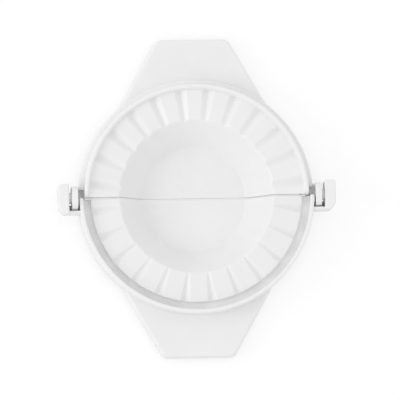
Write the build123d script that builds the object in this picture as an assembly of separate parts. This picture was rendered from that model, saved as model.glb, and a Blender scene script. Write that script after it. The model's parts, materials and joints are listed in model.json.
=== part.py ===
from build123d import *
import math
import os

# Hand press for filled half-moon pastries: two hinged plastic mouldings, modelled open flat.
# The bowls stand on z = 0, the hinge axis runs along x, the grooved half lies on the -y side
# and the tongued half on the +y side. Lengths are in millimetres, angles in degrees.
# A level is a height above the hinge axis, where the two pressing faces meet when shut.

# Pressing face, from the centre outwards
floor_radius = 22.0
bowl_flare = 11.0            # how far the sloped bowl wall runs outwards
bowl_depth = 12.7            # bowl floor below the hinge axis
crimp_width = 12.0           # toothed ring round the bowl
tongue_gap = 0.55            # running gap on each side of the tongue in its groove
tongue_width = 2.25
tongue_lean = 0.7            # how far the tongue's inner side slopes back at its tip
tongue_height = 3.0          # tongue tip above the hinge axis
tip_clearance = 0.5          # tongue tip to groove floor when shut
rim_width = 1.65             # outer rim of the grooved half, and skirt wall of both halves
rim_height = 3.0
ledge_clearance = 0.3        # rim to the tongued half's ledge when shut
edge_round = 0.45

# Crimp teeth: flat pads between narrow radial valleys, on both halves
tooth_pitch = 15.0
pad_rise = 0.8               # the tongued half's pads rise this much outwards, the others fall
pad_clearance = 0.3          # pad to pad when shut
valley_floor_half = 0.3      # half width of a valley's floor
valley_angle = 3.2           # half width of a valley's mouth in the tongued half
valley_depth_inner = 0.9     # its depth at the bowl's edge
valley_depth_outer = 1.7     # and at the ring's outer edge
slit_half_inner = 0.7        # half width of a valley's mouth in the grooved half, bowl's edge
slit_half_outer = 2.1        # and at the ring's outer edge
slit_depth_inner = 0.35
slit_depth_outer = 1.5
valley_wall = 1.0            # least wall left under a valley

# Mouldings
wall = 1.8
parting_gap = 0.3            # each half stops this far short of the hinge line
skirt_height = 11.5          # skirt's lower edge below the hinge axis

# Handles
handle_drop = 6.5            # handle's top face below the hinge axis
handle_edge = 6.0            # height of the turned-down edge
handle_draft = 4.0           # its lean outwards
handle_reach = 67.7          # top face's end, from the hinge axis
handle_end_half = 15.0       # half width at that end
handle_root_half = 31.3      # half width where the sides meet the ring
handle_corner = 3.2
handle_wall = 2.0

# Hinge
pin_radius = 2.4
pin_clearance = 0.065        # radial, a running fit
pin_chamfer = 0.5
pin_setback = 0.3            # pin's end short of the cheek's outer face
ear_gap = 0.6                # ring to ear
ear_thickness = 2.6
ear_radius = 5.1
cheek_gap = 1.2              # ear to cheek
cheek_thickness = 4.6
cheek_front = 5.8            # cheek's reach past the hinge axis, towards the tongued half
cheek_top = 4.6
cheek_chamfer = 2.2          # plan chamfer on the outer rear corner
cheek_round = 1.2            # plan radius on the outer front corner
cheek_edge = 0.6             # chamfer along the top edges
arm_clearance = 0.35         # ear disc to the arm and the shelf behind it
arm_thickness = 1.3
arm_top = 2.4
shelf_front = 2.5            # shelf's edge, behind the hinge axis
shelf_thickness = 2.0
pocket_reach = 3.8           # pocket in the ledge beside the rim's swinging end
pocket_depth = 2.3

# Worked out from the sizes above
bowl_radius = floor_radius + bowl_flare
crimp_radius = bowl_radius + crimp_width
tongue_inner = crimp_radius + tongue_gap
tongue_outer = tongue_inner + tongue_width
skirt_inner = tongue_outer + tongue_gap
ring_radius = skirt_inner + rim_width
axis_height = bowl_depth + wall
groove_level = -(tongue_height + tip_clearance)
ledge_level = -(rim_height + ledge_clearance)
pocket_level = ledge_level - pocket_depth
ear_inner = ring_radius + ear_gap
ear_outer = ear_inner + ear_thickness
cheek_inner = ear_outer + cheek_gap
cheek_outer = cheek_inner + cheek_thickness
arm_front = ear_radius + arm_clearance
arm_rear = arm_front + arm_thickness
shelf_top = -(ear_radius + arm_clearance)
shelf_bottom = shelf_top - shelf_thickness
root_distance = math.sqrt(ring_radius**2 - handle_root_half**2)

TUCK = 0.8                   # how far joined features run into each other
FAR = 200.0                  # beyond every face, for cutting whole sides away


def block(x, y, z):
    """Box from (low, high) pairs: x and y in plan, z as levels."""
    ends = [sorted(pair) for pair in (x, y, z)]
    size = [high - low for low, high in ends]
    centre = Vector(*[(low + high) / 2 for low, high in ends])
    return Pos(centre + Vector(0, 0, axis_height)) * Box(*size)


def round_bar(x, radius):
    """Cylinder on the hinge axis between two x positions."""
    low, high = sorted(x)
    return Pos((low + high) / 2, 0, axis_height) * Rot(0, 90, 0) * Cylinder(radius, high - low)


def own_side(side):
    """The space on one half's side of the hinge line, less the parting gap."""
    return block((-FAR, FAR), (side * parting_gap, side * FAR), (-FAR, FAR))


# Crimp ring ---------------------------------------------------------------


def outwards_from(inner, outer, radius):
    """A size that changes evenly from the bowl's edge to the ring's outer edge."""
    return inner + (outer - inner) * (radius - bowl_radius) / crimp_width


def pad_level(radius):
    """Pressing face of the tongued half: level with the hinge axis at the bowl's edge."""
    return outwards_from(0, pad_rise, radius)


def seat_level(radius):
    """Pressing face of the grooved half, just under the other half's pads when shut."""
    return -pad_level(radius) - pad_clearance


def valley_section(level, half, depth):
    """Cutter across one valley: a narrow floor between two straight flanks, open above."""
    spread = (half - valley_floor_half) / depth
    top_half = half + spread * (rim_height - level)
    corners = [
        (-valley_floor_half, level - depth),
        (valley_floor_half, level - depth),
        (top_half, rim_height),
        (-top_half, rim_height),
    ]
    return make_face(Polyline(*corners, close=True))


def tongue_valley(radius):
    """Valley of the tongued half, as wide in degrees all along."""
    half = radius * math.sin(math.radians(valley_angle))
    depth = outwards_from(valley_depth_inner, valley_depth_outer, radius)
    return valley_section(pad_level(radius), half, depth)


def groove_valley(radius):
    """Valley of the grooved half, nearly a point at the bowl's edge."""
    half = outwards_from(slit_half_inner, slit_half_outer, radius)
    depth = outwards_from(slit_depth_inner, slit_depth_outer, radius)
    return valley_section(seat_level(radius), half, depth)


def across_radius(angle, radius):
    """Upright plane square to the radius at an angle: its x is tangential, its y is up."""
    turn = math.radians(angle)
    outwards = Vector(math.cos(turn), math.sin(turn), 0)
    sideways = Vector(-math.sin(turn), math.cos(turn), 0)
    origin = outwards * radius + Vector(0, 0, axis_height)
    return Plane(origin=origin, x_dir=sideways, z_dir=outwards)


def valleys(section):
    """Radial cutters that run from inside the bowl's edge to the foot of the tongue."""
    sections = [(radius, section(radius)) for radius in (bowl_radius - 2 * TUCK, tongue_outer)]
    cutters = Part()
    for count in range(round(180 / tooth_pitch)):
        angle = tooth_pitch * (count + 0.5)
        cutters += loft([across_radius(angle, radius) * face for radius, face in sections], ruled=True)
    return cutters & Pos(0, 0, axis_height) * Cylinder(tongue_inner, 2 * axis_height)


# Ring, bowl and handle ----------------------------------------------------


def bowl_wall(level, thickness=0.0):
    """Radius of the sloped bowl wall at a level, or of its outside if it has a thickness."""
    slope = math.hypot(bowl_flare, bowl_depth)
    return bowl_radius + level * bowl_flare / bowl_depth + thickness * slope / bowl_depth


def half_ring(pressing_side, crimp_under, channel_level, channel_radius, rounded):
    """Bowl, crimp ring and skirt of the half at +y, turned from its (radius, level) section."""
    bowl_inside = [(0, -bowl_depth), (floor_radius, -bowl_depth)]
    underside = [
        (ring_radius, -skirt_height),
        (skirt_inner, -skirt_height),
        (skirt_inner, channel_level),
        (channel_radius, channel_level),
        (channel_radius, crimp_under),
        (bowl_wall(crimp_under, wall), crimp_under),
        (bowl_wall(-axis_height, wall), -axis_height),
        (0, -axis_height),
    ]
    outline = bowl_inside + pressing_side + underside
    radii = [edge_round if point in rounded else 0 for point in outline]
    section = Plane.XZ * make_face(FilletPolyline(*outline, radius=radii, close=True))
    return Pos(0, 0, axis_height) * revolve(section, Axis.Z, 180)


def handle_plug(side, inset, top):
    """Tapered plug of the handle's plan shape, set in from its outline, below a level."""
    slope = (handle_root_half - handle_end_half) / (handle_reach - root_distance)
    shift = inset * math.hypot(1, slope)
    root = root_distance - 4 * TUCK
    root_half = handle_root_half + slope * 4 * TUCK - shift
    end = handle_reach - inset
    end_half = handle_end_half + slope * inset - shift
    outline = [
        (root_half, side * root),
        (end_half, side * end),
        (-end_half, side * end),
        (-root_half, side * root),
    ]
    corner = max(handle_corner - inset, edge_round)
    plan = make_face(FilletPolyline(*outline, radius=[0, corner, corner, 0], close=True))
    height = handle_drop + handle_edge - top
    return extrude(Pos(0, 0, axis_height - top) * plan, height, dir=(0, 0, -1), taper=-handle_draft)


def handle(side):
    """Tray-shaped handle with its edges turned down, open underneath, up to the skirt wall."""
    tray = handle_plug(side, 0, handle_drop) - handle_plug(side, handle_wall, handle_drop + handle_wall)
    inside_ring = Pos(0, 0, axis_height) * Cylinder(ring_radius - rim_width / 2, 4 * axis_height)
    return tray - inside_ring


# Hinge --------------------------------------------------------------------


def ear(side):
    """Ear disc with its pin and the root that ties both to the tongued half's skirt."""
    disc = round_bar((side * ear_inner, side * ear_outer), ear_radius)
    across = (parting_gap, ear_radius)
    neck = block((side * ear_inner, side * ear_outer), across, (-skirt_height, 0))
    root = block((side * (tongue_outer - TUCK), side * ear_outer), across, (-skirt_height, pocket_level))
    pin = round_bar((side * ear_inner, side * (cheek_outer - pin_setback)), pin_radius)
    tip = (pin.faces() | Axis.X)[0 if side < 0 else -1]
    return disc + neck + root + chamfer(tip.edges(), pin_chamfer)


def ledge_pocket(side):
    """Pocket in the tongued half's ledge beside the swinging end of the other half's rim."""
    x = (side * tongue_outer, side * ear_inner)
    return block(x, (-TUCK, pocket_reach), (pocket_level, ledge_level + TUCK))


def tongue_end(side):
    """What the rounding of the tongue's end takes away above the pressing face."""
    foot = pad_level(crimp_radius)
    radius = tongue_height - foot
    x = (side * (crimp_radius + tongue_gap / 2), side * ring_radius)
    corner = block(x, (0, parting_gap + radius), (foot, tongue_height + TUCK))
    return corner - Pos(0, parting_gap + radius, foot) * round_bar(x, radius)


def cheek(side):
    """Outer block that holds the pin, with a chamfered rear corner and top edges."""
    outline = [
        (side * cheek_inner, -arm_rear),
        (side * (cheek_outer - cheek_chamfer), -arm_rear),
        (side * cheek_outer, -arm_rear + cheek_chamfer),
        (side * cheek_outer, cheek_front),
        (side * cheek_inner, cheek_front),
    ]
    radii = [0, 0, 0, cheek_round, cheek_edge]
    plan = make_face(FilletPolyline(*outline, radius=radii, close=True))
    low = Pos(0, 0, axis_height + shelf_bottom) * plan
    solid = extrude(low, cheek_top - shelf_bottom, dir=(0, 0, 1))
    return chamfer((solid.faces() | Axis.Z)[-1].edges(), cheek_edge)


def bracket(side):
    """Cheek with the arm and the shelf that carry it from the grooved half's skirt."""
    x = (side * skirt_inner, side * (cheek_inner + TUCK))
    arm = block(x, (-arm_rear, -arm_front), (shelf_bottom, arm_top))
    shelf = block(x, (-arm_rear, -shelf_front), (shelf_bottom, shelf_top))
    hole = round_bar((side * cheek_inner, side * (cheek_outer + TUCK)), pin_radius + pin_clearance)
    return cheek(side) + arm + shelf - hole


# The two mouldings --------------------------------------------------------


def groove_half():
    """Half at -y: crimp ring inside a groove, outer rim, cheeks for the pins."""
    face = [
        (bowl_wall(seat_level(bowl_radius)), seat_level(bowl_radius)),
        (crimp_radius, seat_level(crimp_radius)),
        (crimp_radius, groove_level),
        (skirt_inner, groove_level),
        (skirt_inner, rim_height),
        (ring_radius, rim_height),
    ]
    ring = half_ring(
        face,
        crimp_under=seat_level(crimp_radius) - slit_depth_outer - valley_wall,
        channel_level=groove_level - wall,
        channel_radius=crimp_radius - wall,
        rounded=face[4:],
    )
    body = Rot(0, 0, 180) * (ring - valleys(groove_valley)) & own_side(-1)
    body += handle(-1)
    for side in (-1, 1):
        body += bracket(side)
    return body


def tongue_half():
    """Half at +y: crimp ring with valleys inside a raised tongue, ledge, ears and pins."""
    face = [
        (bowl_wall(pad_level(bowl_radius)), pad_level(bowl_radius)),
        (tongue_inner, pad_level(tongue_inner)),
        (tongue_inner + tongue_lean, tongue_height),
        (tongue_outer, tongue_height),
        (tongue_outer, ledge_level),
        (ring_radius, ledge_level),
    ]
    ring = half_ring(
        face,
        crimp_under=pad_level(crimp_radius) - valley_depth_outer - wall,
        channel_level=ledge_level - wall,
        channel_radius=tongue_inner - wall,
        rounded=[face[2], face[3], face[5]],
    )
    body = (ring - valleys(tongue_valley)) & own_side(1)
    body += handle(1)
    for side in (-1, 1):
        body = body - tongue_end(side) - ledge_pocket(side) + ear(side)
    return body


os.makedirs("parts", exist_ok=True)
export_step(groove_half(), "parts/groove_half.step")
export_step(tongue_half(), "parts/tongue_half.step")
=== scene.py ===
# %% [markdown]
# # A hand press for filled pastries, opened flat
# Two white plastic mouldings lie side by side on a table. Each has half a bowl, a toothed
# crimping ring and a tray-shaped handle, and a pin at each end of the parting line joins them.
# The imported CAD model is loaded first. It stays where it is, as the frame that every finer
# mesh below has to fit.

# %% Load the frame
import json
import math

import bmesh
import bpy
import numpy as np
from mathutils import Matrix, Vector
from mathutils.geometry import delaunay_2d_cdt


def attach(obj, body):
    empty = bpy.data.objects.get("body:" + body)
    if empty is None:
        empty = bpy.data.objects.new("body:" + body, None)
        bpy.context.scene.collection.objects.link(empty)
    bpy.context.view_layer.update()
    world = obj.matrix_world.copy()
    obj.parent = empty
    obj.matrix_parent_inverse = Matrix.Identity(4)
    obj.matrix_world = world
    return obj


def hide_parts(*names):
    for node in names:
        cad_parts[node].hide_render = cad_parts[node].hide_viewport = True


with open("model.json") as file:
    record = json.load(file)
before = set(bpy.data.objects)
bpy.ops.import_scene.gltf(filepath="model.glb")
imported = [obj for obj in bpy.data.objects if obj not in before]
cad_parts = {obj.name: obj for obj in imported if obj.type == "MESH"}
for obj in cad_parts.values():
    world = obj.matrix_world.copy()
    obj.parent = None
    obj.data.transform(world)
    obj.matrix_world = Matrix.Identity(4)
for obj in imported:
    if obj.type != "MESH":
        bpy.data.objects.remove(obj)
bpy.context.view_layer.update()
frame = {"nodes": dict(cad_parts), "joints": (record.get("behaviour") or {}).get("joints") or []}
scene = bpy.context.scene
MM = 0.001
AXIS_HEIGHT = frame["joints"][0]["pos_m"][2] / MM
print("frame:", sorted(frame["nodes"]), "hinge axis at", round(AXIS_HEIGHT, 2), "mm")

# %% [markdown]
# The press was photographed from almost straight above with a long lens, the camera leaning
# a little towards the lower handle and to the left. Three rotation angles could say that, but
# each of them would change what the others do. Here a matrix is built from the way towards
# the camera and from a small roll, so each can be set by itself.

# %% Camera
PHOTO_PIXELS = 400
SENSOR_WIDTH = 36.0
CAMERA_WAY = Vector((-0.068, -0.100, 1.0)).normalized()
CAMERA_DISTANCE = 4.0
CAMERA_ROLL = math.radians(1.35)
PIXEL_SIZE = 0.4248 * MM
AIM_POINT = Vector((1.4, -1.62, AXIS_HEIGHT)) * MM
CLIP_NEAR, CLIP_FAR = 0.01, 20.0


def look_matrix(place, way, roll):
    """Places a camera that looks against `way`, with +Y up in the picture before the roll."""
    right = Vector((0, 1, 0)).cross(way).normalized()
    up = way.cross(right)
    turned = Matrix((right, up, way)).transposed() @ Matrix.Rotation(-roll, 3, "Z")
    return Matrix.Translation(place) @ turned.to_4x4()


camera_data = bpy.data.cameras.new("top_camera")
camera_data.sensor_width = SENSOR_WIDTH
camera_data.lens = SENSOR_WIDTH * CAMERA_DISTANCE / (PHOTO_PIXELS * PIXEL_SIZE)
camera_data.clip_start, camera_data.clip_end = CLIP_NEAR, CLIP_FAR
camera = bpy.data.objects.new("top_camera", camera_data)
camera.matrix_world = look_matrix(
    AIM_POINT + CAMERA_WAY * CAMERA_DISTANCE, CAMERA_WAY, CAMERA_ROLL
)
scene.collection.objects.link(camera)
scene.camera = camera
print("camera: lens", round(camera_data.lens, 1), "mm")

# %% [markdown]
# Each moulding is a thin shell whose section hardly changes on its way round the half circle.
# It could be modelled by hand from a cylinder, but then its walls would not stay even, so most
# of it is one closed section turned about the upright axis. The section is written as a few
# corners in (radius, level) with a rounding each, because a mould-maker rounds every edge.
# Levels are heights above the hinge axis, in millimetres, as in the CAD source.

# %% Sizes of the two mouldings
PARTING_GAP = 0.3
WALL = 1.8
BOWL_LEVEL, BOWL_FLOOR, BOWL_RADIUS = -12.7, 22.0, 33.0
BOWL_SLOPE = -BOWL_LEVEL / (BOWL_RADIUS - BOWL_FLOOR)
UNDER_LEVEL = -AXIS_HEIGHT
CRIMP_RADIUS, RING_RADIUS = 45.0, 50.0
TONGUE_INNER, TONGUE_TIP, TONGUE_OUTER = 45.55, 46.25, 47.8
TOP_LEVEL, GROOVE_LEVEL, LEDGE_LEVEL = 3.0, -3.5, -3.3
SKIRT_INNER, SKIRT_LEVEL = 48.35, -11.5
TOOTH_PITCH, FIRST_VALLEY, VALLEY_FLOOR = 15.0, 7.5, 0.3
LIP_SOFTNESS, FLANK_SOFTNESS = 0.7, 0.35

# Pad levels, half widths of the valleys' mouths and depths of the valleys: (bowl side, outside)
TEETH = {
    "groove_half": {"pad": (-0.3, -1.1), "mouth": (0.7, 2.1), "depth": (0.35, 1.5)},
    "tongue_half": {"pad": (0.0, 0.8), "mouth": (1.842, 2.512), "depth": (0.9, 1.7)},
}

# Level and radius of the channel under the ring, and level of the crimp ring's underside.
CHANNELS = {"groove_half": (-5.3, 43.2, -3.6), "tongue_half": (-5.1, 43.75, -2.7)}
print("ring", 2 * RING_RADIUS, "mm across")


# %% Levels of the pressing side
def outwards(pair, radius):
    """A size that changes evenly from the bowl's edge to the ring's outer edge."""
    share = (radius - BOWL_RADIUS) / (CRIMP_RADIUS - BOWL_RADIUS)
    return pair[0] + (pair[1] - pair[0]) * share


def soft_least(a, b, softness):
    """The lesser of two levels with a rounded corner, the same rule as the Math node's."""
    near = max(softness - abs(a - b), 0.0) / softness
    return min(a, b) - near**3 * softness / 6


def press_level(teeth, radius):
    """Level of the bowl's slope and of the pads, which meet in a soft lip."""
    slope = (radius - BOWL_RADIUS) * BOWL_SLOPE
    return soft_least(outwards(teeth["pad"], radius), slope, LIP_SOFTNESS)


# %% A line with rounded corners
ARC_STEP = math.radians(20)
STRAIGHT = 0.02


def corner_arc(before, spot, after, radius):
    """Points of the arc that rounds one corner, or the corner alone where it stays sharp."""
    back, ahead = (before - spot).normalized(), (after - spot).normalized()
    opening = back.angle(ahead)
    if radius <= 0 or math.pi - opening < STRAIGHT:
        return [spot]
    reach = radius / math.tan(opening / 2)
    centre = spot + (back + ahead).normalized() * radius / math.sin(opening / 2)
    start, turn = spot + back * reach - centre, math.pi - opening
    if start.cross(-back) < 0:
        turn = -turn
    steps = max(3, round(abs(turn) / ARC_STEP))
    turns = [turn * count / steps for count in range(steps + 1)]
    return [centre + Matrix.Rotation(angle, 2) @ start for angle in turns]


def rounded_line(corners):
    """Points along (x, y, rounding, step) corners; step is the spacing on the way to the next."""
    spots = [Vector(corner[:2]) for corner in corners]
    trios = zip(spots, spots[1:], spots[2:], corners[1:])
    arcs = [[spots[0]]]
    arcs += [corner_arc(before, spot, after, corner[2]) for before, spot, after, corner in trios]
    arcs.append([spots[-1]])
    points = []
    for arc, following, corner in zip(arcs, arcs[1:] + [None], corners):
        points += arc
        if following:
            run = following[0] - arc[-1]
            steps = max(1, round(run.length / corner[3]))
            points += [arc[-1] + run * count / steps for count in range(1, steps)]
    return points


# %% Corners outside the pads and underneath, as (radius, level, rounding, step)
HUB = 1.0
WHOLE = 9.0     # a step this long puts no rows between two near corners

OUTSIDE = {
    "groove_half": [
        (CRIMP_RADIUS, press_level(TEETH["groove_half"], CRIMP_RADIUS), 0.35, 0.9),
        (CRIMP_RADIUS, GROOVE_LEVEL, 0.3, 1.2),
        (SKIRT_INNER, GROOVE_LEVEL, 0.3, 1.6),
        (SKIRT_INNER, TOP_LEVEL, 0.5, WHOLE),
        (RING_RADIUS, TOP_LEVEL, 0.5, 2.4),
    ],
    "tongue_half": [
        (TONGUE_INNER, outwards(TEETH["tongue_half"]["pad"], TONGUE_INNER), 0.3, 0.8),
        (TONGUE_TIP, TOP_LEVEL, 0.7, WHOLE),
        (TONGUE_OUTER, TOP_LEVEL, 0.6, 1.6),
        (TONGUE_OUTER, LEDGE_LEVEL, 0.3, WHOLE),
        (RING_RADIUS, LEDGE_LEVEL, 0.45, 2.4),
    ],
}


def underside(node):
    """The skirt, the channel under the ring, and the outside of the bowl down to its foot."""
    channel, channel_radius, crimp_under = CHANNELS[node]
    backing = WALL * math.hypot(1, BOWL_SLOPE) / BOWL_SLOPE
    return [
        (RING_RADIUS, SKIRT_LEVEL, 0.5, WHOLE),
        (SKIRT_INNER, SKIRT_LEVEL, 0.5, 2.4),
        (SKIRT_INNER, channel, 0.6, 1.8),
        (channel_radius, channel, 0.6, WHOLE),
        (channel_radius, crimp_under, 0.6, 1.8),
        (BOWL_RADIUS + crimp_under / BOWL_SLOPE + backing, crimp_under, 1.2, 2.4),
        (BOWL_RADIUS + UNDER_LEVEL / BOWL_SLOPE + backing, UNDER_LEVEL, 0.8, 5.0),
        (HUB, UNDER_LEVEL, 0, WHOLE),
    ]


# %% How far the valleys bite outside the pads
BITE_RADIUS, BITE_FOOT = CRIMP_RADIUS + 1, -3.3     # no valley cuts past these
TONGUE_BITE_TOP = 1.15                              # nor above this level on the tongue
GROOVE_WALL_FROM, GROOVE_WALL_FADE = 44, (-1.5, -3.2)


def bite_share(node, spot):
    """How much of a valley's depth a point beyond the pads takes part in."""
    if spot.x >= BITE_RADIUS or spot.y <= BITE_FOOT:
        return 0.0
    if node == "tongue_half":
        return 1.0 if spot.y < TONGUE_BITE_TOP else 0.0
    if spot.x <= GROOVE_WALL_FROM:
        return 0.0
    high, low = GROOVE_WALL_FADE
    return 1 - min(max((high - spot.y) / (high - low), 0), 1)


# %% Sections of the two half rings
SLOPE_START, LIP_START, LIP_END = 24.0, 31.4, 34.6
SLOPE_STEP, LIP_STEP, PAD_ROWS = 1.2, 0.27, 14
GROOVE_PAD_EDGE = 0.5


def section(node):
    """(radius, level, bite) rows of one moulding, from the bowl's middle out, down and back."""
    teeth = TEETH[node]
    pads_end = CRIMP_RADIUS - GROOVE_PAD_EDGE if node == "groove_half" else CRIMP_RADIUS
    radii = list(np.arange(SLOPE_START, LIP_START, SLOPE_STEP))
    radii += list(np.arange(LIP_START, LIP_END, LIP_STEP))
    radii += list(np.linspace(LIP_END, pads_end, PAD_ROWS))
    inside = [(HUB, BOWL_LEVEL, 0, 5.0), (BOWL_FLOOR, BOWL_LEVEL, 2.2, WHOLE)]
    inside.append((radii[0], press_level(teeth, radii[0]), 0, WHOLE))
    rows = [(spot.x, spot.y, 0.0) for spot in rounded_line(inside)][:-1]
    rows += [(radius, press_level(teeth, radius), 1.0) for radius in radii]
    start = (rows[-1][0], rows[-1][1], 0, WHOLE)
    past_rim = False
    for spot in rounded_line([start] + OUTSIDE[node] + underside(node))[1:]:
        past_rim = past_rim or spot.x > RING_RADIUS - 0.001
        rows.append((spot.x, spot.y, 0.0 if past_rim else bite_share(node, spot)))
    return np.array(rows)


sections = {node: section(node) for node in TEETH}
print("rows in each section:", {node: len(rows) for node, rows in sections.items()})

# %% [markdown]
# A Screw modifier could turn a section, but all its columns would be rays at one spacing.
# Here the columns follow the teeth: some run along the floor of each valley, some up its
# flanks and some over the pad, and they open out with the valley, so that its edges stay
# crisp with few faces. Near the parting line, where the two halves are cut apart, the columns
# turn from rays into lines along X and round the edge over before a flat face closes the cut.

# %% Columns of the turned mesh
ACROSS_TOOTH = [0, 0.6, 1, 1.15, 1.45, 1.75, 1.92, 2.0, 2.06, 2.15, 2.35, 2.6, 3.0]
EDGE_ROUNDING = 0.3
EDGE_TURNS = [math.radians(turn) for turn in (90, 67.5, 45, 22.5)]
EASED_LEAST, EASED_MOST, EASED_STARTS = 4.0, 85.0, 3     # degrees, degrees, times the start


def column_angles(teeth, radius):
    """Angles in degrees of one row's columns, from 0 to 180."""
    at = min(max(radius, BOWL_RADIUS), CRIMP_RADIUS)
    floor = math.degrees(VALLEY_FLOOR / at)
    mouth = math.degrees(outwards(teeth["mouth"], at) / at)
    flank = np.interp(ACROSS_TOOTH, [0, 1, 2, 3], [0, floor, mouth, TOOTH_PITCH / 2])
    tooth = np.concatenate([-flank[::-1], flank[1:]])
    middles = [FIRST_VALLEY + TOOTH_PITCH * count for count in range(round(180 / TOOTH_PITCH))]
    turns = np.append(np.concatenate([middle + tooth[:-1] for middle in middles]), 180.0)
    start = math.degrees(math.asin((PARTING_GAP + EDGE_ROUNDING) / radius))
    zone = min(max(EASED_LEAST, EASED_STARTS * start), EASED_MOST)
    low = np.where(turns < zone, start + turns * (zone - start) / zone, turns)
    return np.where(low > 180 - zone, 180 - start - (180 - low) * (zone - start) / zone, low)


def outward_ways(spots):
    """Unit vectors that point out of a closed section at each of its points."""
    ahead = np.roll(spots, -1, axis=0) - spots
    ahead /= np.linalg.norm(ahead, axis=1)[:, None]
    mean = ahead + np.roll(ahead, 1, axis=0)
    mean[0], mean[-1] = (1, 0), (-1, 0)
    mean /= np.linalg.norm(mean, axis=1)[:, None]
    return np.stack([-mean[:, 1], mean[:, 0]], axis=1)


# %% Points of the turned mesh
TONGUE_END_FOOT, TONGUE_END_RADIUS = 0.8, 2.2
ON_TONGUE = (45.4, 47.9)


def ring_grid(node):
    """Rows and columns of points of one half ring, on the +Y side."""
    rows = sections[node]
    outward = outward_ways(rows[:, :2])
    grid = []
    for (radius, level, _), (out_radius, out_level) in zip(rows, outward):
        angles = np.radians(column_angles(TEETH[node], radius))
        arc = [(radius * math.cos(turn), radius * math.sin(turn), level) for turn in angles]
        ends = []
        for turn in EDGE_TURNS:
            inset = EDGE_ROUNDING * (1 - math.cos(turn))
            y = PARTING_GAP + EDGE_ROUNDING * (1 - math.sin(turn))
            new_radius = radius - out_radius * inset
            ends.append((math.sqrt(new_radius**2 - y**2), y, level - out_level * inset))
        grid.append(ends + arc + [(-x, y, z) for x, y, z in reversed(ends)])
    return np.array(grid)


def round_tongue_end(grid, radii):
    """Lowers the tongue's ends along an arc, so that they swing into the groove freely."""
    way = np.clip(PARTING_GAP + TONGUE_END_RADIUS - grid[..., 1], 0, TONGUE_END_RADIUS)
    limit = TONGUE_END_FOOT + np.sqrt(TONGUE_END_RADIUS**2 - way**2)
    on_tongue = (radii > ON_TONGUE[0]) & (radii < ON_TONGUE[1])
    grid[on_tongue, :, 2] = np.minimum(grid[on_tongue, :, 2], limit[on_tongue])


# %% Turning a section into a closed half ring
def cut_face(grid, outline):
    """Triangles that close the flat cut along the parting line, inside its outline only."""
    spots = [Vector((x, z)) for x, y, z in grid.reshape(-1, 3)[outline]]
    filled = delaunay_2d_cdt(spots, [], [list(range(len(spots)))], 1, 1e-6)
    assert all(filled[3]), "the section crosses itself"
    origins = [ids[0] for ids in filled[3]]
    return [[outline[origins[corner]] for corner in face] for face in filled[2]]


def quads(index):
    """Quads between neighbouring rows and columns of point numbers."""
    corners = [index[:-1, :-1], index[:-1, 1:], index[1:, 1:], index[1:, :-1]]
    return np.stack(corners, -1).reshape(-1, 4).tolist()


def grid_faces(grid):
    """Quads between rows and columns, the middles of the bowl, and the flat cut."""
    row_count, column_count = grid.shape[:2]
    index = np.arange(row_count * column_count).reshape(row_count, column_count)
    faces, ends = quads(index), len(EDGE_TURNS)
    for row in (index[0], index[-1]):
        faces.append(row[ends:column_count - ends].tolist())
        for count in range(ends):
            faces.append([row[count], row[count + 1], row[-2 - count], row[-1 - count]])
    return faces + cut_face(grid, index[:, 0].tolist() + index[::-1, -1].tolist())


def turn_outwards(mesh):
    """Turns all faces of a closed mesh outwards and counts the edges that are left open."""
    shape = bmesh.new()
    shape.from_mesh(mesh)
    bmesh.ops.recalc_face_normals(shape, faces=shape.faces)
    if shape.calc_volume(signed=True) < 0:
        bmesh.ops.reverse_faces(shape, faces=shape.faces)
    shape.to_mesh(mesh)
    open_edges = sum(not edge.is_manifold for edge in shape.edges)
    shape.free()
    return open_edges


def placed_object(name, data):
    """Puts a mesh or a lamp in the scene."""
    obj = bpy.data.objects.new(name, data)
    scene.collection.objects.link(obj)
    return obj


def turned_half(name, node, side):
    """Closed half-ring mesh on one side of the hinge line, with its bite attribute."""
    grid = ring_grid(node)
    if node == "tongue_half":
        round_tongue_end(grid, sections[node][:, 0])
    grid[..., 1] *= side
    mesh = bpy.data.meshes.new(name)
    points = grid.reshape(-1, 3) + (0, 0, AXIS_HEIGHT)
    mesh.from_pydata((points * MM).tolist(), [], grid_faces(grid))
    bites = mesh.attributes.new("bite", "FLOAT", "POINT")
    share = np.repeat(sections[node][:, 2], grid.shape[1]).astype(np.float32)
    bites.data.foreach_set("value", share)
    print(name, "open edges", turn_outwards(mesh), "faces", len(mesh.polygons))
    return placed_object(name, mesh)


rings = {
    "groove_half": turned_half("groove_ring", "groove_half", -1),
    "tongue_half": turned_half("tongue_ring", "tongue_half", 1),
}

# %% [markdown]
# The crimp teeth press the dough's edge shut, and follow a rule: the same valley every 15
# degrees, wider and deeper outwards. Boolean wedges could cut them, but would leave sharp
# corners and long thin faces. A Geometry Nodes tree presses them into both rings instead. It
# works out each point's distance from the nearest valley's middle line, draws the valley's
# flanks there with soft corners, and lowers the point by the share that its bite gives.

# %% Helpers for node trees
def wired(tree, node, values):
    """Gives a node's inputs their values, where a value may be another node's output."""
    for key, value in values.items():
        socket = node.inputs[key]
        if isinstance(value, bpy.types.NodeSocket):
            tree.links.new(value, socket)
        else:
            socket.default_value = value
    return node


def sums(tree, operation, *values):
    """One Math node."""
    node = tree.nodes.new("ShaderNodeMath")
    node.operation = operation
    return wired(tree, node, dict(enumerate(values))).outputs[0]


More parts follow.
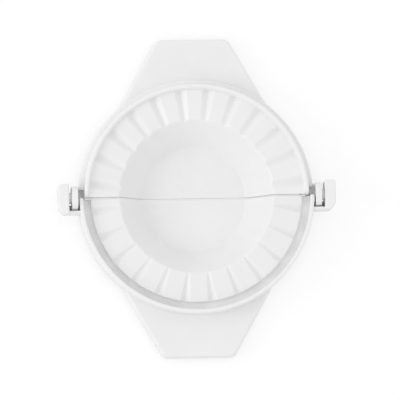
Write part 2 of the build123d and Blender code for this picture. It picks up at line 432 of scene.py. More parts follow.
# %% Where a point lies on the ring
def ring_place(tree, size):
    """Radius, distance aside from the nearest valley's middle, and share of the way outwards."""
    place = tree.nodes.new("ShaderNodeSeparateXYZ")
    tree.links.new(tree.nodes.new("GeometryNodeInputPosition").outputs[0], place.inputs[0])
    x, y = place.outputs["X"], sums(tree, "ABSOLUTE", place.outputs["Y"])
    radius = sums(tree, "SQRT", sums(tree, "MULTIPLY_ADD", x, x, sums(tree, "MULTIPLY", y, y)))
    angle = sums(tree, "DEGREES", sums(tree, "ARCTAN2", y, x))
    past_first = sums(tree, "SUBTRACT", angle, size["First Valley Degrees"])
    teeth = sums(tree, "DIVIDE", past_first, size["Pitch Degrees"])
    off_teeth = sums(tree, "SUBTRACT", teeth, sums(tree, "ROUND", teeth))
    off = sums(tree, "RADIANS", sums(tree, "MULTIPLY", off_teeth, size["Pitch Degrees"]))
    aside = sums(tree, "MULTIPLY", radius, sums(tree, "ABSOLUTE", sums(tree, "SINE", off)))
    reach = sums(tree, "SUBTRACT", size["Crimp Radius"], size["Bowl Radius"])
    way = sums(tree, "SUBTRACT", radius, size["Bowl Radius"])
    return radius, aside, sums(tree, "DIVIDE", way, reach)


# %% How far the teeth lower a point
def tooth_drop(tree, size, radius, aside, share):
    """Toothed level less plain level, both meeting the bowl's slope in a soft lip."""
    def along(label):
        inner, outer = size[label + " Inner"], size[label + " Outer"]
        return sums(tree, "MULTIPLY_ADD", sums(tree, "SUBTRACT", outer, inner), share, inner)

    pad, mouth, depth = along("Pad"), along("Mouth"), along("Depth")
    soft, lip = size["Flank Softness"], size["Lip Softness"]
    run = sums(tree, "SUBTRACT", mouth, size["Floor Half Width"])
    steepness = sums(tree, "DIVIDE", depth, run)
    flank = sums(tree, "MULTIPLY", sums(tree, "SUBTRACT", aside, mouth), steepness)
    floor = sums(tree, "SMOOTH_MAX", flank, sums(tree, "MULTIPLY", depth, -1.0), soft)
    valley = sums(tree, "SMOOTH_MIN", floor, 0.0, soft)
    way = sums(tree, "SUBTRACT", radius, size["Bowl Radius"])
    slope = sums(tree, "MULTIPLY", way, size["Bowl Slope"])
    toothed = sums(tree, "SMOOTH_MIN", sums(tree, "ADD", pad, valley), slope, lip)
    return sums(tree, "SUBTRACT", toothed, sums(tree, "SMOOTH_MIN", pad, slope, lip))


# %% The tree that presses the teeth
def tooth_sizes(teeth):
    """The tree's numbers for one half's teeth, its lengths in metres."""
    lengths = {
        "Bowl Radius": BOWL_RADIUS, "Crimp Radius": CRIMP_RADIUS,
        "Floor Half Width": VALLEY_FLOOR,
        "Flank Softness": FLANK_SOFTNESS, "Lip Softness": LIP_SOFTNESS,
    }
    for label, (inner, outer) in teeth.items():
        lengths |= {label.title() + " Inner": inner, label.title() + " Outer": outer}
    angles = {"Pitch Degrees": TOOTH_PITCH, "First Valley Degrees": FIRST_VALLEY}
    metres = {name: value * MM for name, value in lengths.items()}
    return metres | angles | {"Bowl Slope": BOWL_SLOPE}


def press_tree():
    """A Geometry Nodes tree with the teeth's sizes and the material as its inputs."""
    tree = bpy.data.node_groups.new("press_teeth", "GeometryNodeTree")
    sockets = tree.interface
    sockets.new_socket("Geometry", in_out="INPUT", socket_type="NodeSocketGeometry")
    for name in tooth_sizes(TEETH["groove_half"]):
        sockets.new_socket(name, in_out="INPUT", socket_type="NodeSocketFloat")
    sockets.new_socket("Material", in_out="INPUT", socket_type="NodeSocketMaterial")
    sockets.new_socket("Geometry", in_out="OUTPUT", socket_type="NodeSocketGeometry")
    size = tree.nodes.new("NodeGroupInput").outputs
    bite = tree.nodes.new("GeometryNodeInputNamedAttribute")
    bite.data_type = "FLOAT"
    bite.inputs["Name"].default_value = "bite"
    drop = tooth_drop(tree, size, *ring_place(tree, size))
    offset = tree.nodes.new("ShaderNodeCombineXYZ")
    wired(tree, offset, {"Z": sums(tree, "MULTIPLY", drop, bite.outputs["Attribute"])})
    pressed = wired(tree, tree.nodes.new("GeometryNodeSetPosition"),
                    {"Geometry": size["Geometry"], "Offset": offset.outputs[0]})
    real = wired(tree, tree.nodes.new("GeometryNodeRealizeInstances"),
                 {"Geometry": pressed.outputs[0]})
    painted = wired(tree, tree.nodes.new("GeometryNodeSetMaterial"),
                    {"Geometry": real.outputs[0], "Material": size["Material"]})
    tree.links.new(painted.outputs[0], tree.nodes.new("NodeGroupOutput").inputs[0])
    return tree


teeth_tree = press_tree()
white_plastic = bpy.data.materials.new("white_plastic")
print("press_teeth tree:", len(teeth_tree.nodes), "nodes")


# %% Press the teeth into both rings
def plain_copy(obj):
    """Gives the object its evaluated shape as a plain mesh, and takes its modifiers away."""
    bpy.context.view_layer.update()
    shown = obj.evaluated_get(bpy.context.evaluated_depsgraph_get())
    mesh = bpy.data.meshes.new_from_object(shown)
    obj.modifiers.clear()
    obj.data = mesh


def press_teeth(ring, teeth):
    """Runs the tree on a ring with the sizes of its own teeth."""
    values = tooth_sizes(teeth) | {"Material": white_plastic}
    modifier = ring.modifiers.new("press_teeth", "NODES")
    modifier.node_group = teeth_tree
    for socket in teeth_tree.interface.items_tree:
        if socket.in_out == "INPUT" and socket.name in values:
            modifier[socket.identifier] = values[socket.name]
    plain_copy(ring)


for node, ring in rings.items():
    press_teeth(ring, TEETH[node])
    heights = [vertex.co.z / MM for vertex in ring.data.vertices]
    print(ring.name, "heights", round(min(heights), 2), "to", round(max(heights), 2), "mm")

# %% [markdown]
# The handle is a tray turned upside down: a flat top with its edge turned down all round, so
# that fingertips fit under it. A box with a Solidify modifier would come close, but its
# outline would not follow the ring. So an outer plug is built from closed loops of one
# outline at growing offsets and falling levels, which gives its rounded top edge and its
# draft, the lean that lets it out of the mould, and a smaller plug is taken out of it.

# %% Outline of the handle
HANDLE_TOP, HANDLE_FOOT, HANDLE_DRAFT = -6.5, -12.5, math.tan(math.radians(4.0))
HANDLE_END, HANDLE_END_HALF, HANDLE_ROOT_HALF, HANDLE_CORNER = 67.7, 15.0, 31.3, 3.2
LEAST_CORNER = 0.6
ROOT_Y = math.sqrt(RING_RADIUS**2 - HANDLE_ROOT_HALF**2)
SIDE_POINTS, CORNER_POINTS, END_POINTS, ROOT_POINTS = 15, 9, 7, 41


def handle_loop(offset, root_radius, level, side):
    """One closed loop of the handle's outline, moved out by an offset, at a level."""
    slope = (HANDLE_ROOT_HALF - HANDLE_END_HALF) / (HANDLE_END - ROOT_Y)
    end, corner = HANDLE_END + offset, max(HANDLE_CORNER + offset, LEAST_CORNER)
    base = HANDLE_END_HALF + slope * HANDLE_END + offset * math.hypot(1, slope)
    # the slanting side, x = base - slope * y, starts on the circle of the root radius
    a, b, c = 1 + slope**2, -2 * base * slope, base**2 - root_radius**2
    root_y = (-b + math.sqrt(b * b - 4 * a * c)) / (2 * a)
    root = Vector((base - slope * root_y, root_y))
    tip = Vector((base - slope * end, end))
    opening = math.pi / 2 + math.atan(slope)
    reach = corner / math.tan(opening / 2)
    start, stop = tip + (root - tip).normalized() * reach, tip - Vector((reach, 0))
    centre = Vector((stop.x, end - corner))
    turns = np.linspace(math.atan2(*(start - centre).yx), math.pi / 2, CORNER_POINTS)
    right = [root.lerp(start, share) for share in np.linspace(0, 1, SIDE_POINTS)[:-1]]
    right += [centre + Vector((math.cos(turn), math.sin(turn))) * corner for turn in turns]
    middle = Vector((0, end))
    right += [stop.lerp(middle, share) for share in np.linspace(0, 1, END_POINTS)[1:]]
    loop = [(spot.x, spot.y) for spot in right]
    loop += [(-spot.x, spot.y) for spot in reversed(right[:-1])]
    turn = math.atan2(root.y, root.x)
    loop += [
        (root_radius * math.cos(angle), root_radius * math.sin(angle))
        for angle in np.linspace(math.pi - turn, turn, ROOT_POINTS)[1:-1]
    ]
    return [(x, y * side, level) for x, y in loop]


# %% A closed mesh through loops
SHARP = math.radians(30)


def soften(mesh, softness, segments):
    """Bevels the sharp edges of a block and leaves its round ones alone."""
    shape = bmesh.new()
    shape.from_mesh(mesh)
    sharp = [edge for edge in shape.edges if edge.calc_face_angle() > SHARP]
    bmesh.ops.bevel(shape, geom=sharp, offset=softness * MM, segments=segments,
                    profile=0.5, affect="EDGES", clamp_overlap=True)
    shape.to_mesh(mesh)
    shape.free()


def lofted(name, loops, softness=0, segments=3):
    """A mesh through loops that all have the same number of points, with both ends closed."""
    count = len(loops[0])
    assert all(len(loop) == count for loop in loops), [len(loop) for loop in loops]
    index = np.arange(len(loops) * count).reshape(-1, count)
    faces = index[[0, -1]].tolist() + quads(np.hstack([index, index[:, :1]]))
    points = np.array(loops).reshape(-1, 3) + (0, 0, AXIS_HEIGHT)
    mesh = bpy.data.meshes.new(name)
    mesh.from_pydata((points * MM).tolist(), [], faces)
    turn_outwards(mesh)
    if softness:
        soften(mesh, softness, segments)
    return placed_object(name, mesh)


# %% Loops that make a plug
# Loops inside the top face, which keep its shading flat: inset and growth of the root radius
TOP_LOOPS = ((6.0, 7.0), (3.0, 3.6), (1.3, 1.6))
TOP_TURNS, FOOT_TURNS = [0, 18, 36, 54, 72, 90], [0, 22.5, 45, 67.5, 90]
CUTTER_REACH = 1.0


def plug_loops(inset, top, top_round, foot_round, root_radius, side):
    """Loops from the plug's top face over its rounded edge, down the draft and to its foot.

    A foot rounding below zero flares the foot outwards, as a cutter for a rounded edge does."""
    loops = []
    for inner, root_step in TOP_LOOPS:
        loops.append(handle_loop(-top_round - inset - inner, root_radius + root_step, top, side))
    for turn in np.radians(TOP_TURNS):
        down = top_round * (1 - math.cos(turn))
        offset = down * HANDLE_DRAFT - top_round * (1 - math.sin(turn)) - inset
        loops.append(handle_loop(offset, root_radius, top - down, side))
    flare = abs(foot_round)
    for turn in np.radians(FOOT_TURNS):
        up = flare * (1 - math.sin(turn))
        level = HANDLE_FOOT + up
        aside = math.copysign(flare * (1 - math.cos(turn)), foot_round)
        offset = (HANDLE_TOP - level) * HANDLE_DRAFT - aside - inset
        loops.append(handle_loop(offset, root_radius, level, side))
    if foot_round < 0:
        loops.append([(x, y, level - CUTTER_REACH) for x, y, level in loops[-1]])
    return loops


# %% Both handles
HANDLE_WALL = 2.0
TOP_ROUND, HOLLOW_ROUND, FOOT_ROUND = 0.9, 0.7, 0.5
PLUG_ROOT, HOLLOW_ROOT = 49.2, 46.0     # radii inside the skirt where the plugs end


def handle(name, side):
    """The handle's outer plug and the smaller plug that hollows it."""
    hollow_top = HANDLE_TOP - HANDLE_WALL
    outer = plug_loops(0.0, HANDLE_TOP, TOP_ROUND, FOOT_ROUND, PLUG_ROOT, side)
    hollow = plug_loops(HANDLE_WALL, hollow_top, HOLLOW_ROUND, -FOOT_ROUND, HOLLOW_ROOT, side)
    return lofted(name, outer), lofted(name + "_hollow", hollow)


handles = {"groove_half": handle("groove_handle", -1), "tongue_half": handle("tongue_handle", 1)}
print("handle plugs:", {node: len(pair[0].data.polygons) for node, pair in handles.items()})

# %% [markdown]
# At each end of the parting line a pin on the tongued half's ear runs in a cheek that an arm
# and a shelf hold off the grooved half. All of these are plain blocks with softened edges.
# Scaled cubes could be bevelled by hand, but here each block is an outline drawn out along
# one direction, so its sizes read as in a drawing. Only its sharp edges get a bevel.

# %% Blocks for the hinge
def block(name, outline, ends, along, softness, segments=3):
    """Draws an outline out along "x" or "z" between two ends and softens its edges."""
    order = {"x": lambda u, v, w: (w, u, v), "z": lambda u, v, w: (u, v, w)}[along]
    loops = [[order(u, v, w) for u, v in outline] for w in sorted(ends)]
    return lofted(name, loops, softness, segments)


def rectangle(low_u, high_u, low_v, high_v):
    return [(low_u, low_v), (high_u, low_v), (high_u, high_v), (low_u, high_v)]


def arc_points(centre, radius, start, stop, count):
    """Points along an arc, its ends given in degrees."""
    return [
        (centre[0] + radius * math.cos(turn), centre[1] + radius * math.sin(turn))
        for turn in np.radians(np.linspace(start, stop, count))
    ]


def circle_points(radius, count=64):
    """Points round a whole circle about the hinge axis."""
    return arc_points((0, 0), radius, 0, 360 - 360 / count, count)


def sided(values, side):
    """Points in (x, y), or plain x positions, on the right or left side."""
    return [(v[0] * side, v[1]) if isinstance(v, tuple) else v * side for v in values]


# %% Cheeks, arms and shelves of the grooved half
PIN_RADIUS, PIN_CLEARANCE = 2.4, 0.065
ARM_ENDS = (48.6, 55.2)                              # from inside the skirt into the cheek
ARM_FRONT, ARM_BACK, ARM_TOP = -6.75, -5.45, 2.4
SHELF_BACK, SHELF_TOP, BRACKET_FOOT = -2.5, -5.45, -7.45
CHEEK_INNER, CHEEK_OUTER, CHEEK_BACK, CHEEK_TOP = 54.4, 59.0, 5.8, 4.6
CHEEK_CHAMFER, CHEEK_CORNER, CHEEK_SOFTNESS = 2.2, 1.2, 0.55
HOLE_ENDS = (53.0, 60.5)
SOFTNESS = 0.3


def cheek_plan():
    """The cheek from above, with its chamfered front corner and its rounded back corner."""
    centre = (CHEEK_OUTER - CHEEK_CORNER, CHEEK_BACK - CHEEK_CORNER)
    plan = [
        (CHEEK_INNER, ARM_FRONT), (CHEEK_OUTER - CHEEK_CHAMFER, ARM_FRONT),
        (CHEEK_OUTER, ARM_FRONT + CHEEK_CHAMFER),
    ]
    plan += arc_points(centre, CHEEK_CORNER, 0, 90, 6)
    return plan + [(CHEEK_INNER, CHEEK_BACK)]


def bracket(side):
    """The blocks to add and the cutters to take away at one end of the grooved half."""
    ends, hole_ends = sided(ARM_ENDS, side), sided(HOLE_ENDS, side)
    arm_side = rectangle(ARM_FRONT, ARM_BACK, BRACKET_FOOT, ARM_TOP)
    shelf_side = rectangle(ARM_FRONT, SHELF_BACK, BRACKET_FOOT, SHELF_TOP)
    cheek = block(f"cheek_{side}", sided(cheek_plan(), side), (BRACKET_FOOT, CHEEK_TOP), "z",
                  CHEEK_SOFTNESS, 4)
    arm = block(f"arm_{side}", arm_side, ends, "x", SOFTNESS)
    shelf = block(f"shelf_{side}", shelf_side, ends, "x", SOFTNESS)
    hole = block(f"hole_{side}", circle_points(PIN_RADIUS + PIN_CLEARANCE), hole_ends, "x", 0)
    return [cheek, arm, shelf], [hole]


# %% Ears, pins and pockets of the tongued half
EAR_RADIUS, EAR_ENDS, EAR_ARC_STOP = 5.1, (50.6, 53.2), 266.6
ROOT_START, ROOT_TOP = 47.0, -5.6
PIN_START, PIN_TIP = 51.0, 58.7
PIN_STEPS = ((0.5, 0.0), (0.15, 0.15), (0.0, 0.5))     # (back from the tip, off the radius)
POCKET_ENDS, POCKET_FRONT, POCKET_BACK = (47.8, 51.2), -0.8, 3.8
POCKET_LEVELS, POCKET_SOFTNESS = (-5.6, -2.5), 0.25


def ear(side):
    """The blocks to add and the cutters to take away at one end of the tongued half."""
    outline = [(PARTING_GAP, SKIRT_LEVEL), (EAR_RADIUS, SKIRT_LEVEL), (EAR_RADIUS, 0.0)]
    outline += arc_points((0, 0), EAR_RADIUS, 0, EAR_ARC_STOP, 46)[1:]
    root_side = rectangle(PARTING_GAP, EAR_RADIUS, SKIRT_LEVEL, ROOT_TOP)
    disc = block(f"ear_{side}", outline, sided(EAR_ENDS, side), "x", SOFTNESS)
    root = block(f"root_{side}", root_side, sided((ROOT_START, EAR_ENDS[1]), side), "x", SOFTNESS)
    stations = [(PIN_START, PIN_RADIUS)]
    stations += [(PIN_TIP - back, PIN_RADIUS - less) for back, less in PIN_STEPS]
    pin = lofted(f"pin_{side}", [
        [(x * side, u, v) for u, v in circle_points(radius)] for x, radius in stations
    ])
    plan = rectangle(*POCKET_ENDS, POCKET_FRONT, POCKET_BACK)
    pocket = block(f"pocket_{side}", sided(plan, side), POCKET_LEVELS, "z", POCKET_SOFTNESS)
    return [disc, root, pin], [pocket]


fittings = {
    "groove_half": [bracket(side) for side in (-1, 1)],
    "tongue_half": [ear(side) for side in (-1, 1)],
}
print("hinge parts at the ends of:", sorted(fittings))

# %% [markdown]
# A moulding is one piece of plastic. Its parts could simply be left to pass through each
# other, but then hidden faces would stay inside and the joins would catch the light. So they
# are merged into one closed skin with Boolean modifiers. The manifold solver is quick and
# exact here, because every part is closed.

# %% Merge each moulding
def merge(base, part, operation):
    """Applies one Boolean step to the base object and deletes the part."""
    step = base.modifiers.new(operation, "BOOLEAN")
    step.operation, step.object, step.solver = operation, part, "MANIFOLD"
    plain_copy(base)
    bpy.data.objects.remove(part)


def moulding(node):
    """Pockets are cut before the ears go on, and pin holes after the cheeks are there."""
    ring = rings[node]
    outer, hollow = handles[node]
    for blocks, cutters in fittings[node]:
        added = [(piece, "UNION") for piece in blocks]
        cut = [(cutter, "DIFFERENCE") for cutter in cutters]
        for part, operation in (cut + added if node == "tongue_half" else added + cut):
            merge(ring, part, operation)
    merge(outer, hollow, "DIFFERENCE")
    merge(ring, outer, "UNION")
    ring.name = node + "_moulding"
    return ring


mouldings = {node: moulding(node) for node in rings}
for node, obj in mouldings.items():
    shape = bmesh.new()
    shape.from_mesh(obj.data)
    open_edges = sum(not edge.is_manifold for edge in shape.edges)
    triangles = sum(len(face.verts) - 2 for face in shape.faces)
    volume = round(shape.calc_volume() * 1e9)
    print(obj.name, triangles, "triangles,", open_edges, "open edges,", volume, "mm3")
    shape.free()

# %% [markdown]
# The real plastic's flat faces are flat right up to their rounded edges, and plain smooth
# shading would smear the light across both. More faces would help, but sharp marks at real
# corners and normals weighted by the size of the faces do it with none.

# %% Smooth shading that keeps the flat faces flat
KEPT_SHARP = math.radians(38)

for obj in mouldings.values():
    obj.data.polygons.foreach_set("use_smooth", [True] * len(obj.data.polygons))
    obj.data.set_sharp_from_angle(angle=KEPT_SHARP)
    weighting = obj.modifiers.new("weighted_normals", "WEIGHTED_NORMAL")
    weighting.keep_sharp = True
    plain_copy(obj)

# %% [markdown]
# Three attributes tell the material where it is on the moulding: how sharply the skin turns
# outwards (an edge that fingers and dough rub), how sharply it turns inwards (a corner where
# the material paints in a little shade), and whether it belongs to the polished pressing side.
# They could be painted by hand, but measured on the mesh they fit every edge.

# %% Which way the skin turns at each edge
def read(items, name, width, kind=float):
    """One row of values for each item, such as every face's normal."""
    values = np.empty(len(items) * width, kind)
    items.foreach_get(name, values)
    return values.reshape(-1, width)


def signed_turns(mesh):
    """For each edge its two end points and how far the skin turns there, outwards positive."""
    loops_in_face = [face.loop_total for face in mesh.polygons]
    face_of_loop = np.repeat(np.arange(len(mesh.polygons)), loops_in_face)
    order = np.argsort(read(mesh.loops, "edge_index", 1, int)[:, 0], kind="stable")
    pairs = face_of_loop[order].reshape(-1, 2)
    normals, centres = read(mesh.polygons, "normal", 3), read(mesh.polygons, "center", 3)
    first, second = normals[pairs[:, 0]], normals[pairs[:, 1]]
    turn = np.arccos(np.clip((first * second).sum(1), -1, 1))
    across = ((centres[pairs[:, 1]] - centres[pairs[:, 0]]) * first).sum(1)
    return read(mesh.edges, "vertices", 2, int), np.where(across < 0, turn, -turn)


# %% Edge, corner and pressing-side attributes
FULL_MARK = math.radians(22)                    # a turn this sharp counts in full
PRESS_RADIUS, PRESS_FLOOR, PRESS_MARGIN = 46.4, -2.8, 0.4


def on_pressing_side(spots):
    """1 at points above the bowl's and the ring's skin, 0 underneath and outside."""
    radius = np.hypot(spots[:, 0], spots[:, 1])
    skin = np.where(radius < BOWL_RADIUS, (radius - BOWL_RADIUS) * BOWL_SLOPE, PRESS_FLOOR)
    skin = np.maximum(skin, BOWL_LEVEL) - PRESS_MARGIN
    return ((radius < PRESS_RADIUS) & (spots[:, 2] > skin)).astype(float)


def mark_surface(mesh):
    """Stores the three attributes on the mesh and returns their means."""
    ends, turns = signed_turns(mesh)
    spots = read(mesh.vertices, "co", 3) / MM - (0, 0, AXIS_HEIGHT)
    marks = {"press_side": on_pressing_side(spots)}
    # edge marks outward turns for wear; corner marks inward turns, where the material paints shade
    for name, amount in (("edge", turns), ("corner", -turns)):
        share = np.clip(amount / FULL_MARK, 0, 1)
        value = np.zeros(len(spots))
        np.maximum.at(value, ends[:, 0], share)
        np.maximum.at(value, ends[:, 1], share)
        marks[name] = value
    for name, value in marks.items():
        layer = mesh.attributes.new(name, "FLOAT", "POINT")
        layer.data.foreach_set("value", value.astype(np.float32))
    return {name: round(float(value.mean()), 3) for name, value in marks.items()}


for obj in mouldings.values():
    print(obj.name, mark_surface(obj.data))

# %% [markdown]
# The press is moulded in white polypropylene, a satin plastic. One plain colour and one
# roughness would look like a computer's plastic, and image textures would blur close up, so
# four effects make up its skin. Each is a node group with named inputs that can be placed in
# any material again: the fine grain of the mould, the slow drift of tone where the resin
# flowed, hairline scuffs from use, and the wear of edges with the shade of corners.

# %% Helpers for shader groups
MM_PER_UNIT = 1000.0


def shader_group(name, numbers, outputs, colours=()):
    """An empty group with a Vector, named colours and named numbers as its inputs."""
    tree = bpy.data.node_groups.new(name, "ShaderNodeTree")
    add, kinds = tree.interface.new_socket, {"Vector": "NodeSocketVector"}
    kinds |= {label: "NodeSocketColor" for label in ("Color", *colours)}
    for label in ("Vector", *colours, *numbers):
        kind = kinds.get(label, "NodeSocketFloat")
        socket = add(label, in_out="INPUT", socket_type=kind)
        if label in numbers:
            socket.default_value = numbers[label]
    for label in outputs:
        add(label, in_out="OUTPUT", socket_type=kinds.get(label, "NodeSocketFloat"))
    inside = tree.nodes.new("NodeGroupInput").outputs
    return tree, inside, tree.nodes.new("NodeGroupOutput").inputs


def noise(tree, vector, scale, detail=3.0, roughness=0.5):
    node = tree.nodes.new("ShaderNodeTexNoise")
    values = {"Vector": vector, "Scale": scale, "Detail": detail, "Roughness": roughness}
    return wired(tree, node, values).outputs["Fac"]


def scale_for(tree, size_mm, share=1.0):
    """The noise scale at which its features have a size given in millimetres."""
    return sums(tree, "DIVIDE", MM_PER_UNIT * share, size_mm)


def remap(tree, value, low, high):
    """A soft step from 0 to 1 while the value runs from low to high."""
    node = tree.nodes.new("ShaderNodeMapRange")
    node.interpolation_type = "SMOOTHSTEP"
    wired(tree, node, {"Value": value, "From Min": low, "From Max": high})
    return node.outputs["Result"]


def blended(tree, share, first, second, kind="RGBA"):
    """A Mix node between two colours or two numbers."""
    node = tree.nodes.new("ShaderNodeMix")
    node.data_type = kind
    factor, a, b, result = {"RGBA": (0, 6, 7, 2), "FLOAT": (0, 2, 3, 0)}[kind]
    wired(tree, node, {factor: share, a: first, b: second})
    return node.outputs[result]


# %% Mould grain
def mould_grain_group():
    """Spark-eroded grain with a faint waviness, and the change of gloss that goes with them."""
    tree, inside, out = shader_group(
        "mould_grain", {"Grain Size mm": 0.18, "Wave Size mm": 5.0, "Wave Share": 0.5},
        ["Height", "Gloss Change"])
    vector, size = inside["Vector"], inside["Grain Size mm"]
    fine = noise(tree, vector, scale_for(tree, size), 2.0)
    pits = noise(tree, vector, scale_for(tree, size, 0.42), 4.0, 0.65)
    wave = noise(tree, vector, scale_for(tree, inside["Wave Size mm"]), 2.0)
    grain = sums(tree, "MULTIPLY_ADD", fine, 0.6, sums(tree, "MULTIPLY", pits, 0.4))
    height = sums(tree, "MULTIPLY_ADD", wave, inside["Wave Share"], grain)
    mean = sums(tree, "MULTIPLY_ADD", pits, 0.5, sums(tree, "MULTIPLY", wave, 0.5))
    tree.links.new(height, out["Height"])
    tree.links.new(sums(tree, "SUBTRACT", mean, 0.5), out["Gloss Change"])
    return tree


# %% Drift of tone in the resin
def resin_drift_group():
    """Slow clouds and faint flow lines that run outwards from the gate under the bowl."""
    tree, inside, out = shader_group(
        "resin_drift", {"Cloud Size mm": 26.0, "Flow Share": 0.35}, ["Color"],
        colours=("Light Tone", "Deep Tone"))
    clouds = noise(tree, inside["Vector"], scale_for(tree, inside["Cloud Size mm"]), 3.0, 0.55)
    place = wired(tree, tree.nodes.new("ShaderNodeSeparateXYZ"), {0: inside["Vector"]}).outputs
    angle = sums(tree, "ARCTAN2", place["Y"], place["X"])
    y_squared = sums(tree, "MULTIPLY", place["Y"], place["Y"])
    squared = sums(tree, "MULTIPLY_ADD", place["X"], place["X"], y_squared)
    along = sums(tree, "MULTIPLY", sums(tree, "SQRT", squared), 14.0)
    flow = tree.nodes.new("ShaderNodeCombineXYZ")
    wired(tree, flow, {0: sums(tree, "SINE", angle), 1: sums(tree, "COSINE", angle), 2: along})
    lines = noise(tree, flow.outputs[0], 7.0, 3.0, 0.6)
    mixed = blended(tree, inside["Flow Share"], clouds, lines, "FLOAT")
    tone = blended(tree, remap(tree, mixed, 0.36, 0.64), inside["Deep Tone"], inside["Light Tone"])
    tree.links.new(tone, out["Color"])
    return tree


# %% Hairline scuffs
SCUFF_TURNS, SCUFF_STRETCH = (0.6, -0.85), 0.045


def scuffs_group():
    """Short fine lines in two directions, in patches, as a wiped and stacked tool gets."""
    tree, inside, out = shader_group(
        "hairline_scuffs", {"Line Width mm": 0.12, "Patch Size mm": 14.0, "Amount": 0.5},
        ["Mask"])
    masks = []
    for turn in SCUFF_TURNS:
        mapping = tree.nodes.new("ShaderNodeMapping")
        wired(tree, mapping, {"Vector": inside["Vector"], "Rotation": (0, 0, turn),
                              "Scale": (SCUFF_STRETCH, 1.0, 1.0)})
        hair_scale = scale_for(tree, inside["Line Width mm"], 0.5)
        masks.append(remap(tree, noise(tree, mapping.outputs[0], hair_scale, 1.0), 0.70, 0.76))
    patch = noise(tree, inside["Vector"], scale_for(tree, inside["Patch Size mm"]), 2.0)
    both = sums(tree, "MAXIMUM", *masks)
    held = sums(tree, "MULTIPLY", both, remap(tree, patch, 0.46, 0.62))
    tree.links.new(sums(tree, "MULTIPLY", held, inside["Amount"]), out["Mask"])
    return tree


# %% Worn edges and shaded corners
def wear_and_shade_group():
    """Breaks the edge and corner attributes up, so that wear and shade come in patches."""
    tree, inside, out = shader_group(
        "edge_wear_and_corner_shade", {"Edge": 0.0, "Corner": 0.0, "Patch Size mm": 6.0, "Evenness": 0.5},
        ["Worn Edge", "Shaded Corner"])
    patch = noise(tree, inside["Vector"], scale_for(tree, inside["Patch Size mm"]), 4.0, 0.6)
    broken = remap(tree, patch, 0.35, 0.65)
    cover = sums(tree, "MINIMUM", sums(tree, "ADD", broken, inside["Evenness"]), 1.0)
    # Worn Edge is wear on outward edges; Shaded Corner is painted shade in inward corners
    for attribute, result in (("Edge", "Worn Edge"), ("Corner", "Shaded Corner")):
        tree.links.new(sums(tree, "MULTIPLY", inside[attribute], cover), out[result])
    return tree


groups = {
    "grain": mould_grain_group(), "drift": resin_drift_group(),
    "scuffs": scuffs_group(), "wear_and_shade": wear_and_shade_group(),
}
print("finish groups:", {name: len(tree.nodes) for name, tree in groups.items()})

# %% [markdown]
# The groups meet in one material. The pressing side is polished and a little glossier than
# the grained outside, edges wear lighter and smoother, and corners get a little painted shade.
# Subsurface scattering would let some light through, as the real plastic does, but it makes
# every render slow, so an opaque plastic stands for it.

# %% White polypropylene
LIGHT_TONE, DEEP_TONE = (0.890, 0.890, 0.888, 1), (0.866, 0.868, 0.866, 1)
OUTSIDE_ROUGHNESS, PRESS_ROUGHNESS = 0.46, 0.36
TINTS = {       # how far each mask moves the base colour, and towards which tone
    "Worn Edge": (0.55, (0.915, 0.915, 0.912, 1)),
    # painted shade: the corner mask darkens inward corners towards this grey
    "Shaded Corner": (0.15, (0.80, 0.80, 0.79, 1)),
    "Mask": (0.35, (0.93, 0.93, 0.93, 1)),
}
ROUGHENS = {"Gloss Change": 0.35, "Worn Edge": -0.10, "Mask": 0.15}
PRESS_RELIEF, SCUFF_RELIEF = 0.45, -0.4
BUMP_STRENGTH, BUMP_HEIGHT = 0.35, 0.05 * MM
PLASTIC_IOR = 1.49


def placed(tree, group, values):
    """A group node in a material, with its inputs wired."""
    node = tree.nodes.new("ShaderNodeGroup")
    node.node_tree = group
    return wired(tree, node, values).outputs


def attribute(tree, name):
    """One of the mesh's own attributes as a number."""
    node = tree.nodes.new("ShaderNodeAttribute")
    node.attribute_name = name
    return node.outputs["Fac"]


def finish_plastic(material):
    """Wires the four groups into the material's colour, roughness and normal."""
    material.use_nodes = True
    tree = material.node_tree
    shader = tree.nodes["Principled BSDF"]
    vector = tree.nodes.new("ShaderNodeTexCoord").outputs["Object"]
    press_side = attribute(tree, "press_side")
    wear_and_shade = placed(tree, groups["wear_and_shade"], {"Vector": vector, "Edge": attribute(tree, "edge"),
                                         "Corner": attribute(tree, "corner")})
    drift = placed(tree, groups["drift"], {"Vector": vector, "Light Tone": LIGHT_TONE,
                                           "Deep Tone": DEEP_TONE})
    grain = placed(tree, groups["grain"], {"Vector": vector})
    scuffs = placed(tree, groups["scuffs"], {"Vector": vector})
    masks = {socket.name: socket for group in (wear_and_shade, grain, scuffs) for socket in group}
    colour = drift["Color"]
    # worn edges and scuffs lighten the colour, and the corner mask paints shade into inward
    # corners
    for name, (share, tone) in TINTS.items():
        colour = blended(tree, sums(tree, "MULTIPLY", masks[name], share), colour, tone)
    rough = blended(tree, press_side, OUTSIDE_ROUGHNESS, PRESS_ROUGHNESS, "FLOAT")
    for name, change in ROUGHENS.items():
        rough = sums(tree, "MULTIPLY_ADD", masks[name], change, rough)
    polish = blended(tree, press_side, 1.0, PRESS_RELIEF, "FLOAT")
    relief = sums(tree, "MULTIPLY", grain["Height"], polish)
    relief = sums(tree, "MULTIPLY_ADD", scuffs["Mask"], SCUFF_RELIEF, relief)
    bump = tree.nodes.new("ShaderNodeBump")
    wired(tree, bump, {"Height": relief, "Strength": BUMP_STRENGTH, "Distance": BUMP_HEIGHT})
    wired(tree, shader, {"Base Color": colour, "Roughness": rough,
                         "Normal": bump.outputs[0], "IOR": PLASTIC_IOR})
    return len(tree.nodes)


print("white_plastic:", finish_plastic(white_plastic), "nodes")
for obj in mouldings.values():
    obj.data.materials.clear()
    obj.data.materials.append(white_plastic)

# %% [markdown]
# The photo's background is plain white. More light would whiten it too, but would burn out
# the press. So the floor is an ordinary pale board to the light, which sends light back up
# under the press, and the camera sees it mostly as a flat white with only a trace of the
# press's own shadow. Beyond its edge the camera sees a plain white world.

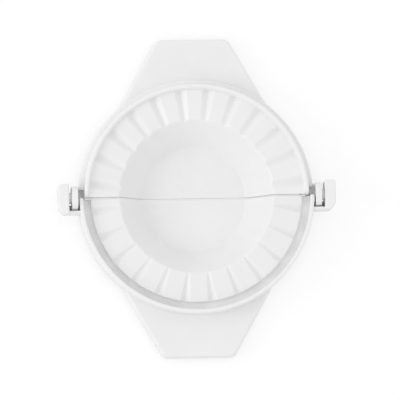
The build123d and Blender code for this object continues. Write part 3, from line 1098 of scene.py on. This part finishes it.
# %% Floor
FLOOR_HALF = 1.5
FLOOR_LEVEL = -0.05 * MM     # a hair below the bowls' feet, so that no two faces coincide
BOARD_COLOUR, BOARD_ROUGHNESS = (0.86, 0.86, 0.86, 1), 0.9
GLOW_STRENGTH, GLOW_SHARE = 1.13, 0.62


def looking_rays(tree):
    """1 for rays that come straight from the camera or by way of a mirror or glass."""
    path = tree.nodes.new("ShaderNodeLightPath").outputs
    glossy = sums(tree, "MAXIMUM", path["Is Camera Ray"], path["Is Glossy Ray"])
    return sums(tree, "MAXIMUM", glossy, path["Is Transmission Ray"])


corners = [(x * FLOOR_HALF, y * FLOOR_HALF, FLOOR_LEVEL) for x, y in rectangle(-1, 1, -1, 1)]
floor_mesh = bpy.data.meshes.new("floor")
floor_mesh.from_pydata(corners, [], [(0, 1, 2, 3)])
floor = placed_object("floor", floor_mesh)
floor_paint = bpy.data.materials.new("floor_white")
floor_paint.use_nodes = True
tree = floor_paint.node_tree
board = wired(tree, tree.nodes["Principled BSDF"],
              {"Base Color": BOARD_COLOUR, "Roughness": BOARD_ROUGHNESS})
glow = wired(tree, tree.nodes.new("ShaderNodeEmission"),
             {"Color": (1, 1, 1, 1), "Strength": GLOW_STRENGTH})
share = sums(tree, "MULTIPLY", looking_rays(tree), GLOW_SHARE)
floor_mix = wired(tree, tree.nodes.new("ShaderNodeMixShader"),
                  {0: share, 1: board.outputs[0], 2: glow.outputs[0]})
tree.links.new(floor_mix.outputs[0], tree.nodes["Material Output"].inputs["Surface"])
floor_mesh.materials.append(floor_paint)
print("floor", 2 * FLOOR_HALF, "m across")

# %% [markdown]
# The photo's light is very soft: it comes from all round, a little more of it from the left.
# Many lamps could do that, but an even white world gives it without noise, and one broad
# panel adds the left side's share.

# %% Lights
WORLD_LIGHT = 0.88
PANEL_DISTANCE = 1.1
world = bpy.data.worlds.new("room")
scene.world = world
world.use_nodes = True
tree = world.node_tree
sky = tree.nodes["Background"]
brightness = blended(tree, looking_rays(tree), WORLD_LIGHT, 1.0, "FLOAT")
wired(tree, sky, {"Color": (1, 1, 1, 1), "Strength": brightness})


def soft_light(name, azimuth, elevation, size, power):
    """A round panel that faces the press, at an azimuth from +X and an elevation in degrees."""
    data = bpy.data.lights.new(name, "AREA")
    data.shape = "DISK"
    data.size = size
    data.energy = power
    lamp = placed_object(name, data)
    turn, lift = math.radians(azimuth), math.radians(elevation)
    level = math.cos(lift)
    way = Vector((math.cos(turn) * level, math.sin(turn) * level, math.sin(lift)))
    lamp.location = way * PANEL_DISTANCE
    lamp.rotation_euler = way.to_track_quat("Z", "Y").to_euler()
    return lamp


panel = soft_light("left_panel", azimuth=183, elevation=33, size=0.6, power=2.0)
print("panel", round(panel.location.length, 2), "m from the press")

# %% [markdown]
# Each moulding has to swing with its half of the hinge. It could be parented by hand, but the
# frame knows its moving bodies, so each mesh rides on its own and replaces that CAD node.

# %% Each moulding rides on its body and stands for its CAD node
for node, obj in mouldings.items():
    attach(obj, node)
    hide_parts(node)

# %% [markdown]
# The Standard view shows colours as they are written, where a film look would grey the white
# plastic.

# %% View settings
scene.view_settings.view_transform = "Standard"
